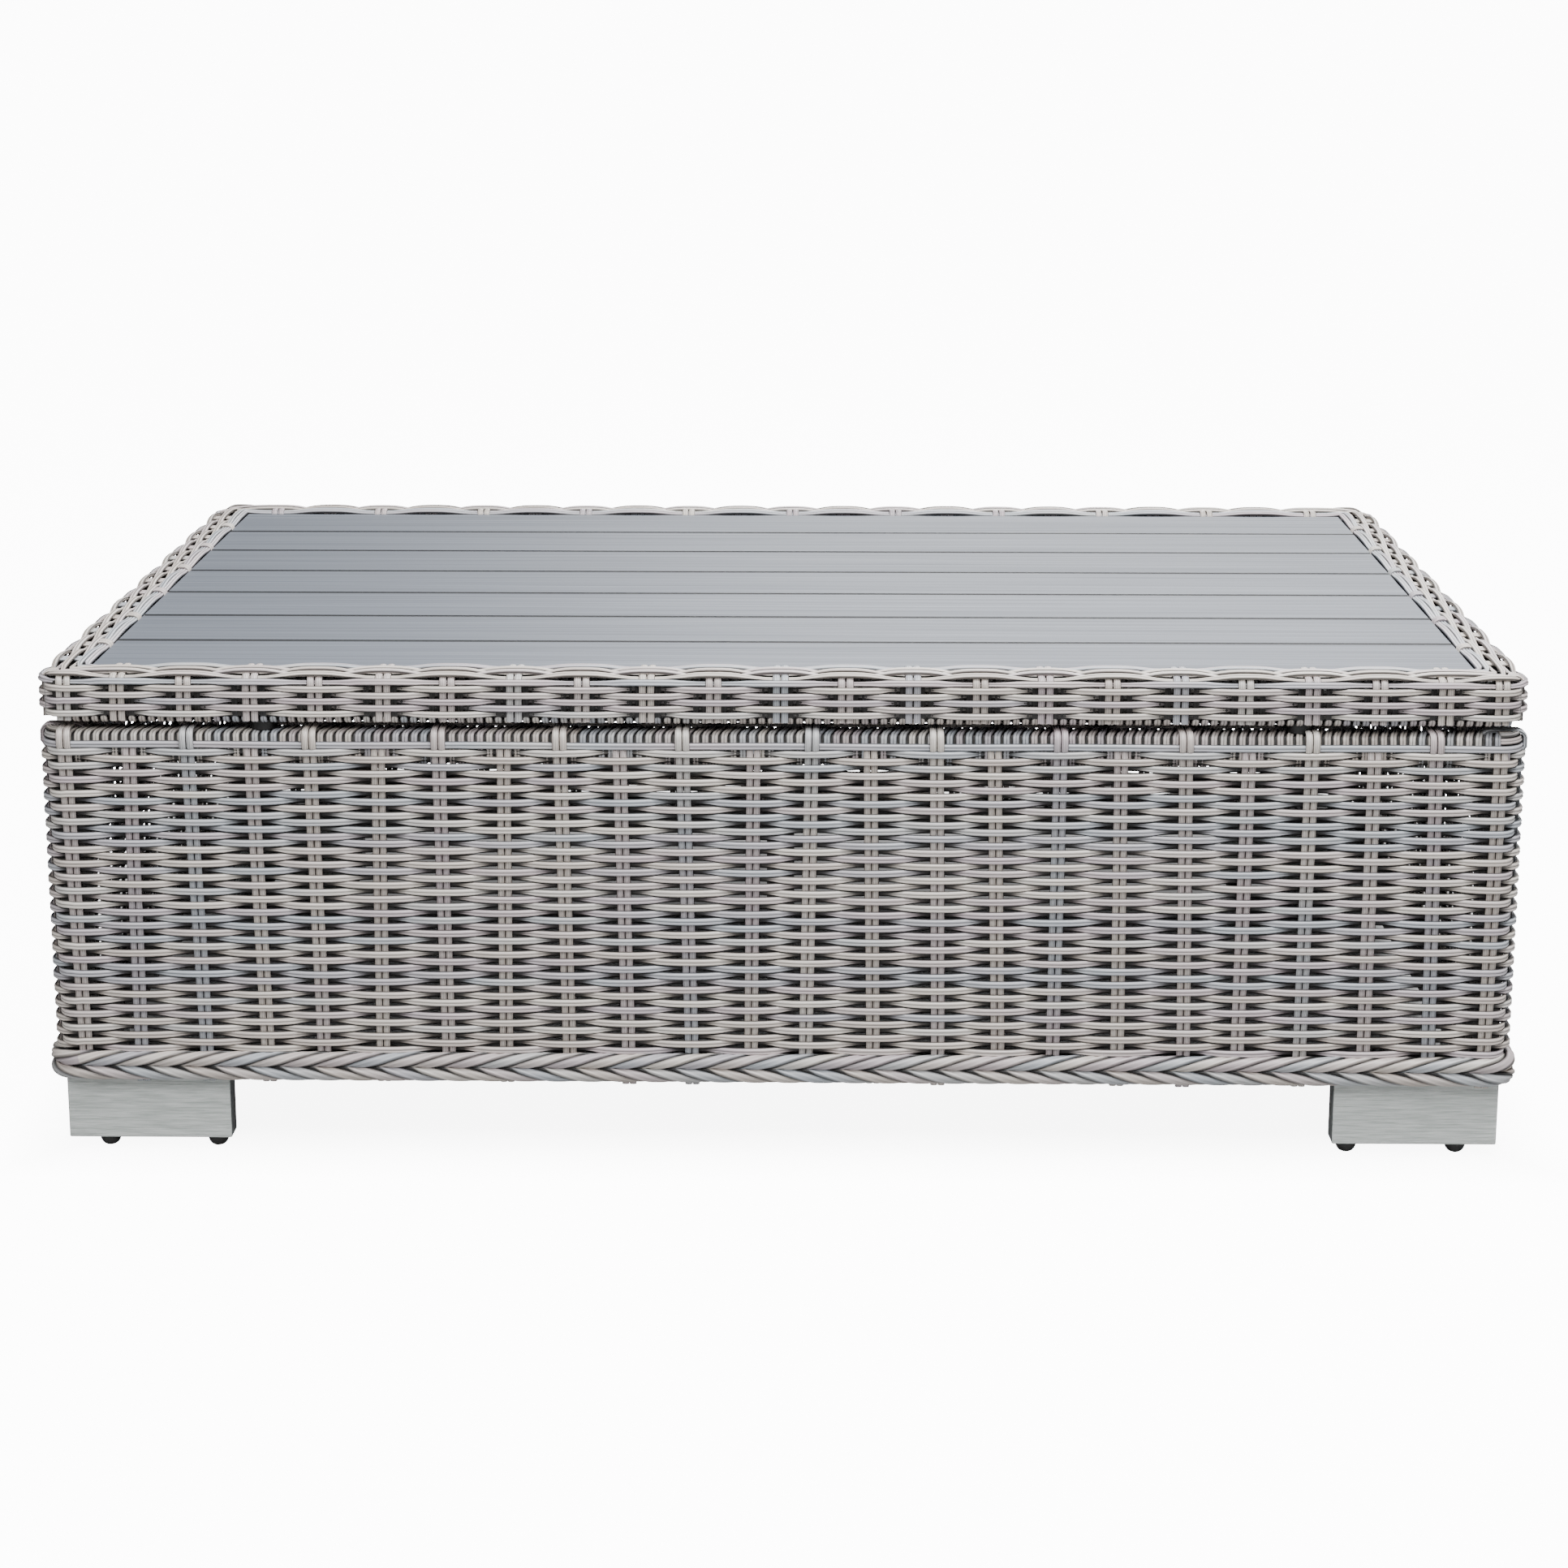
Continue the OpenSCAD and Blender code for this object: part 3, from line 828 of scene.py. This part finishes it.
def add_pair(piece, side, path, x, way, offset, size):
    """Adds the two strands of a stake, each offset from the place x."""
    shift = rng.uniform(-0.8, 0.8)
    tone = rng.random()
    for sign in (-1, 1):
        centre = on_side(side, path, np.full(len(path), x + shift + sign * offset))
        wide = np.tile(way, (len(centre), 1))
        piece.add(centre, wide, unit(np.cross(along(centre), wide)), size, tone)


def rim_lashings():
    """The lashings inside the rim, of which only the underside shows."""
    low = RIM_LOW[2] - 0.6
    high = RIM_TOP - RIM_SKIN - 3.2
    centre = ((TUBE_LOW[1] + TUBE_HIGH[1]) / 2 + HALF_D, (low + high) / 2)
    pieces = {}
    for side in SIDES:
        # the front's and the back's run into the corners, and the ends' stop at them
        reach = HALF_W - 18 if side in LONG_SIDES else HALF_D - RIM_WIDE + 8
        pieces[side] = lashing("rim_lashing_" + side, side, centre, (RIM_LASHING_HALF_IN, (high - low) / 2),
                               reach, RIM_LASHING_STRAND, covered=True)
    return pieces


# ---------- plaited border ----------

BRAID_STRANDS = 4
BRAID_TURNS = 36        # turns of each rope round the whole table
BRAID_STEPS = 36        # rings of a strand in one turn
BRAID_R = 3.5           # radius of the path of a strand's middle
BRAID_STRAND = (3.5, 2.1)
BRAID_IN = 0.6          # inset of the ropes' middle
BRAID_FIRST = 5.1       # height of the lower rope's middle over the border's underside
BRAID_APART = 10.3      # from the lower rope's middle to the upper's
BRAID_TILT = 0.22       # how far a strand is tipped over its neighbour, in radians


def braid():
    """Two ropes of flat strands, one over the other, laid opposite ways."""
    pieces = {side: Strands("braid_strands_" + side) for side in SIDES}
    loop_steps = 28
    for level, hand in ((0, -1), (1, 1)):
        z0 = BRAID_LOW[2] + BRAID_FIRST + level * BRAID_APART
        points, normals, phase = loop(BRAID_IN, WALL_STAKES_X, WALL_STAKES_Y, loop_steps)
        run = np.concatenate([[0.0], np.cumsum(np.linalg.norm(np.diff(points, axis=0), axis=1))])
        length = run[-1]
        count = BRAID_TURNS * BRAID_STEPS
        s = np.arange(count + 1) / count * length
        line = np.column_stack([np.interp(s, run, points[:, 0]), np.interp(s, run, points[:, 1])])
        facing = unit(np.column_stack([np.interp(s, run, normals[:, 0]), np.interp(s, run, normals[:, 1])]))
        n_x, n_y = len(WALL_STAKES_X), len(WALL_STAKES_Y)
        marks = [0, n_x - 1, n_x + n_y, 2 * n_x + n_y - 1]
        cuts = [int(round(np.interp(m, phase, run) / length * count)) for m in marks]
        cuts.append(cuts[0] + count)
        for strand in range(BRAID_STRANDS):
            turn = hand * 2 * np.pi * (s / length * BRAID_TURNS + strand / BRAID_STRANDS)
            reach_out = BRAID_R * np.cos(turn)
            rise = BRAID_R * 1.08 * np.sin(turn)
            centre = flat3(line + facing * reach_out[:, None], z0 + rise)
            out3 = flat3(facing, 0.0)
            up = np.tile([0.0, 0.0, 1.0], (len(s), 1))
            radial = unit(out3 * np.cos(turn)[:, None] + up * np.sin(turn)[:, None])
            tangent = along(centre)
            tangent[-1] = tangent[0]
            level_wide = unit(np.cross(tangent, radial))
            level_thick = unit(np.cross(level_wide, tangent))
            wide = level_wide * math.cos(BRAID_TILT) + level_thick * math.sin(BRAID_TILT)
            thick = level_thick * math.cos(BRAID_TILT) - level_wide * math.sin(BRAID_TILT)
            tone = rng.random()
            # painted shade: the valley between the two ropes is the darkest, and each strand darkens where
            # it turns in
            valley = np.maximum(0.0, np.sin(turn) * (1 if level == 0 else -1))
            depth = np.cos(turn) + 0.35 - 0.9 * valley
            for side, first, last in zip(SIDES, cuts, cuts[1:]):
                pick = np.arange(first, last + 1) % count
                pieces[side].add(centre[pick], wide[pick], thick[pick], BRAID_STRAND, tone, s[first % count],
                                 depth[pick])
    return pieces


# ---------- making the woven pieces ----------

for maker, material, node in ((wall_weave, wicker, "weave_"), (wall_stakes, ribbed, "weave_"),
                              (rim_weave, wicker, "top_weave_"), (rim_stakes, ribbed, "top_weave_"),
                              (braid, plaited, "braid_"), (rail_lashings, lashed, "rail_wrap_"),
                              (rim_lashings, lashed, "top_weave_")):
    for side, piece in maker().items():
        piece.build(material, node + side)

# ---------- feet and glides ----------


FOOT_BEVEL = 1.4 * MM


def bevelled_board(name, node, material, end_axis):
    """A board with softened edges, its ends in a darker material."""
    low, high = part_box(node)
    mesh = bpy.data.meshes.new(name)
    shape = bmesh.new()
    bmesh.ops.create_cube(shape, size=1.0)
    for vert in shape.verts:
        for axis in range(3):
            vert.co[axis] = (low[axis] + high[axis]) / 2 + vert.co[axis] * (high[axis] - low[axis])
    bmesh.ops.bevel(shape, geom=shape.edges[:], offset=FOOT_BEVEL, segments=3, profile=0.6, affect="EDGES")
    for face in shape.faces:
        face.smooth = True
        face.material_index = 1 if abs(face.normal[end_axis]) > 0.9 else 0
    shape.to_mesh(mesh)
    shape.free()
    mesh.materials.append(material)
    mesh.materials.append(foot_end)
    piece = bpy.data.objects.new(name, mesh)
    return place(piece, "foot_board", node)


for face in LONG_SIDES:
    for end in ("left", "right"):
        bevelled_board(f"foot_board_{face}_{end}", f"foot_{face}_{end}", foot_board_x, 0)
        bevelled_board(f"foot_return_{face}_{end}", f"foot_side_{face}_{end}", foot_board_y, 1)


GLIDE_R = 8 * MM
GLIDE_TIP_R = 2.5 * MM          # of the flat spot that it stands on
GLIDE_RIM = 0.6 * MM            # height of the straight rim under the board
GLIDE_FROM_CORNER = 29 * MM     # from the foot's corner to the first glide
GLIDE_FROM_END = 12 * MM        # from a board's end to the other glides
GLIDE_SIDES = 32


def glide_profile(height):
    """Radius and height of a dome's points, from the tip up to the board."""
    profile = [(GLIDE_TIP_R, 0.0)]
    for step in range(1, 9):
        angle = step * math.pi / 16
        profile.append((GLIDE_TIP_R + (GLIDE_R - GLIDE_TIP_R) * math.sin(angle),
                        (height - GLIDE_RIM) * (1 - math.cos(angle))))
    return profile + [(GLIDE_R, height)]


def turn_glide(shape, x, y, profile):
    """Adds one dome, closed at both ends."""
    turns = [k * 2 * math.pi / GLIDE_SIDES for k in range(GLIDE_SIDES)]
    rings = [[shape.verts.new((x + r * math.cos(turn), y + r * math.sin(turn), z)) for turn in turns]
             for r, z in profile]
    shape.faces.new(rings[0][::-1])
    shape.faces.new(rings[-1])
    for low, high in zip(rings, rings[1:]):
        for k in range(GLIDE_SIDES):
            n = (k + 1) % GLIDE_SIDES
            shape.faces.new((low[k], low[n], high[n], high[k])).smooth = True


def glide_piece():
    """The black domes under the feet, turned from one profile."""
    low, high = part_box("foot_front_left")
    side_low, side_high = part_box("foot_side_front_left")
    middle_y = (low[1] + high[1]) / 2
    places = [(low[0] + GLIDE_FROM_CORNER, middle_y), (high[0] - GLIDE_FROM_END, middle_y),
              ((side_low[0] + side_high[0]) / 2, side_high[1] - GLIDE_FROM_END)]
    profile = glide_profile(low[2])
    shape = bmesh.new()
    for flip_x in (1, -1):
        for flip_y in (1, -1):
            for x, y in places:
                turn_glide(shape, flip_x * x, flip_y * y, profile)
    mesh = bpy.data.meshes.new("glide_domes")
    shape.to_mesh(mesh)
    shape.free()
    mesh.materials.append(black_plastic)
    return place(bpy.data.objects.new("glide_domes", mesh), "black_plastic", "glides")


glide_piece()

# ---------- carried-over pieces ----------


def node_material(name):
    """The material of a CAD node that still shows."""
    if name.startswith("slat_") and name != "slat_screws":
        return slat_board
    if name == "top_spacers":
        return black_plastic
    if name.endswith(("screws", "bolts", "washers", "nuts")):
        return zinc
    return powder_coat


for name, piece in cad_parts.items():
    for holder in piece.material_slots:
        holder.material = node_material(name)

# ---------- studio ----------


FILL = 0.05             # light from all round
BACKDROP = 12.0         # extra brightness of the floor and backdrop as seen
# the floor is painted dimmer under the table, as shade
UNDER_TABLE = 7.5       # the same right under the table
FLOOR_REACH = 80.0      # the floor fills the view up to the horizon
# where the painted shade on the floor starts to fade and where it ends, from the table's outline outwards
SHADE_SIDE = (0.015, 0.075)
SHADE_BACK = (0.16, 0.44)
SHADE_FRONT = (-0.21, -0.16)
SHADE_SPREAD = 0.237    # how much wider it gets per metre towards the back
SPREAD_END = 0.3        # where along y it stops getting wider
SHADE_EDGE = 3.0        # how steeply it gets bright at its outer edge
UNDER_EDGE = 0.05       # half the width of the change from UNDER_TABLE to BACKDROP


def floor():
    """A white floor that looks bright all round the table and dim in a shade painted under and behind it."""
    mesh = bpy.data.meshes.new("floor")
    corners = ((-1, -1), (1, -1), (1, 1), (-1, 1))
    mesh.from_pydata([(x * FLOOR_REACH, y * FLOOR_REACH, 0) for x, y in corners], [], [(0, 1, 2, 3)])
    shader = Shader("studio_floor", 0.9)
    shader.surface.inputs["Base Color"].default_value = (0.4, 0.4, 0.4, 1)
    shader.surface.inputs["Emission Color"].default_value = (1, 1, 1, 1)
    seen = shader.node("ShaderNodeLightPath").outputs["Is Camera Ray"]
    x, y, _ = shader.split(shader.node("ShaderNodeTexCoord").outputs["Object"])
    half_w = HALF_W * MM
    half_d = HALF_D * MM
    # the painted shade starts behind the front feet, widens a little and fades out behind the table
    spread = shader.math("MULTIPLY", shader.math("MINIMUM", y, SPREAD_END), SHADE_SPREAD)
    beside = shader.span(shader.math("SUBTRACT", shader.math("ABSOLUTE", x), spread),
                         half_w + SHADE_SIDE[0], half_w + SHADE_SIDE[1])
    behind = shader.span(y, half_d + SHADE_BACK[0], half_d + SHADE_BACK[1])
    before = shader.span(y, -half_d - SHADE_FRONT[0], -half_d - SHADE_FRONT[1])
    outside = shader.math("MAXIMUM", beside, shader.math("MAXIMUM", behind, before))
    clear = shader.math("POWER", outside, SHADE_EDGE)
    # right under the table the floor is painted less bright, as shade, as it shows through the weave from
    # above
    open_x = shader.span(shader.math("ABSOLUTE", x), half_w - UNDER_EDGE, half_w + UNDER_EDGE)
    open_y = shader.span(shader.math("ABSOLUTE", y), half_d - UNDER_EDGE, half_d + UNDER_EDGE)
    power = shader.span(shader.math("MAXIMUM", open_x, open_y), 0.0, 1.0, UNDER_TABLE, BACKDROP)
    bright = shader.math("MULTIPLY", clear, power)
    shader.link(shader.math("MULTIPLY", seen, bright), shader.surface.inputs["Emission Strength"])
    mesh.materials.append(shader.material)
    ground = bpy.data.objects.new("floor", mesh)
    bpy.context.collection.objects.link(ground)


def backdrop():
    """White all round, bright as seen and faint as a light."""
    world = bpy.data.worlds.new("studio")
    world.use_nodes = True
    nodes = world.node_tree.nodes
    seen = nodes.new("ShaderNodeLightPath").outputs["Is Camera Ray"]
    strength = nodes.new("ShaderNodeMapRange")
    strength.inputs["To Min"].default_value = FILL
    strength.inputs["To Max"].default_value = BACKDROP
    world.node_tree.links.new(seen, strength.inputs["Value"])
    world.node_tree.links.new(strength.outputs[0], nodes["Background"].inputs["Strength"])
    nodes["Background"].inputs["Color"].default_value = (1, 1, 1, 1)
    bpy.context.scene.world = world


def softbox(name, at, aim, size, power):
    """A rectangular lamp at one point that faces another; its size in metres, its power in watts."""
    light = bpy.data.lights.new(name, "AREA")
    light.shape = "RECTANGLE"
    light.size, light.size_y = size
    light.energy = power
    lamp = bpy.data.objects.new(name, light)
    lamp.location = at
    direction = np.array(aim) - np.array(at)
    lamp.rotation_euler = (math.acos(-direction[2] / np.linalg.norm(direction)), 0,
                           math.atan2(direction[1], direction[0]) - math.pi / 2)
    bpy.context.collection.objects.link(lamp)


floor()
backdrop()
softbox("key_light", at=(-0.4, -2.2, 2.1), aim=(0, -0.3, 0.2), size=(1.8, 1.2), power=66)
softbox("top_light", at=(0.7, -0.8, 2.6), aim=(0, 0, 0.3), size=(1.4, 1.0), power=142)
softbox("back_light", at=(0.5, 2.6, 1.7), aim=(0, 0.2, 0.2), size=(1.8, 0.8), power=60)
